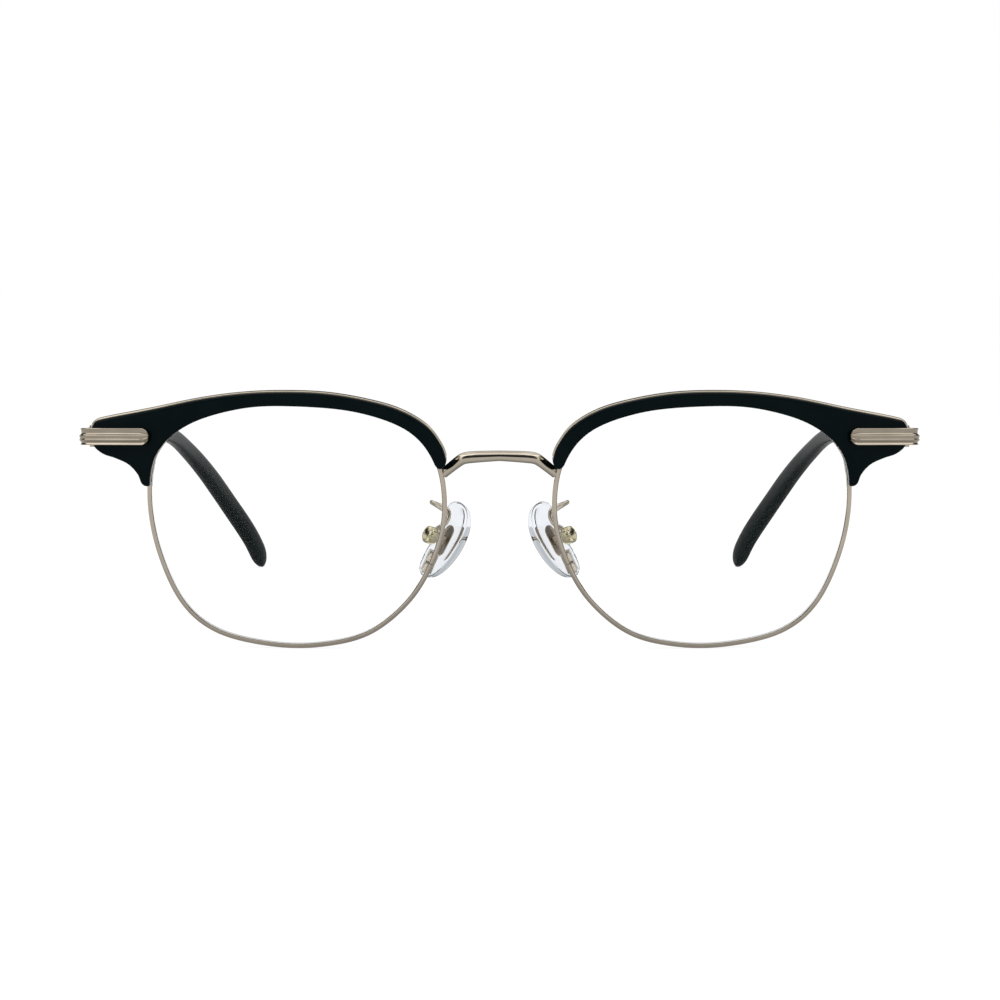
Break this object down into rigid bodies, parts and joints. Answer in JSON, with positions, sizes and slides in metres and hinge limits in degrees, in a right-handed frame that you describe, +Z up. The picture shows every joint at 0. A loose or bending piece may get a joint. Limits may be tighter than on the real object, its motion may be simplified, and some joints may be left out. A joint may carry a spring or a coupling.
{
  "type": "browline glasses",
  "caption": "Browline glasses: dark brows over thin metal rims, fluted end pieces, folding temples with dark tips, and clear nose pads on wire arms.",
  "frame": {"origin": "bottom centre of the bounding box: the glasses stand on the rims' lowest points and the tips' ends", "axes": "+Z up, +X towards the wearer's left, +Y from the front towards the temple tips"},
  "size_m": [0.1434, 0.1438, 0.0442],
  "materials": {
    "black_acetate": "polished near-black acetate",
    "champagne": "satin champagne plating on metal",
    "pale_gold": "pale gold plating, bright on the ridges",
    "steel": "turned steel",
    "clear_lens": "clear, colourless lens plastic",
    "clear_pad": "clear silicone with a faint blue cast"
  },
  "bodies": {
    "front": {"bridge": "champagne", "left_rim": "champagne", "left_lens": "clear_lens", "left_brow": "black_acetate", "left_brow_trim": "pale_gold", "left_brow_tab": "champagne", "left_brow_screws": "steel", "left_rim_lug": "champagne", "left_end_piece": "pale_gold", "left_closing_block": "champagne", "left_closing_screw": "steel", "left_pad_arm": "champagne", "left_pad_box": "pale_gold", "left_pad_screw": "pale_gold", "left_hinge_front": "champagne", "left_hinge_screw": "steel", "right_rim": "champagne", "right_lens": "clear_lens", "right_brow": "black_acetate", "right_brow_trim": "pale_gold", "right_brow_tab": "champagne", "right_brow_screws": "steel", "right_rim_lug": "champagne", "right_end_piece": "pale_gold", "right_closing_block": "champagne", "right_closing_screw": "steel", "right_pad_arm": "champagne", "right_pad_box": "pale_gold", "right_pad_screw": "pale_gold", "right_hinge_front": "champagne", "right_hinge_screw": "steel"},
    "left_temple": {"left_temple_arm": "champagne", "left_temple_tip": "black_acetate", "left_hinge_temple": "champagne"},
    "left_pad": {"left_pad_core": "pale_gold", "left_nose_pad": "clear_pad"},
    "right_temple": {"right_temple_arm": "champagne", "right_temple_tip": "black_acetate", "right_hinge_temple": "champagne"},
    "right_pad": {"right_pad_core": "pale_gold", "right_nose_pad": "clear_pad"}
  },
  "joints": [
    {"name": "left_temple_hinge", "type": "hinge", "parent": "front", "child": "left_temple", "pos_m": [0.06865, -0.0553, 0.03567], "axis": [0, 0.0498, 0.9988], "range_deg": [0, 84]},
    {"name": "right_temple_hinge", "type": "hinge", "parent": "front", "child": "right_temple", "pos_m": [-0.06865, -0.0553, 0.03567], "axis": [0, -0.0498, -0.9988], "range_deg": [0, 78]},
    {"name": "left_pad_rock", "type": "hinge", "parent": "front", "child": "left_pad", "pos_m": [0.0118, -0.063, 0.01919], "axis": [-0.4455, -0.8474, -0.289], "range_deg": [-8, 8]},
    {"name": "right_pad_rock", "type": "hinge", "parent": "front", "child": "right_pad", "pos_m": [-0.0118, -0.063, 0.01919], "axis": [-0.4455, 0.8474, 0.289], "range_deg": [-8, 8]}
  ]
}
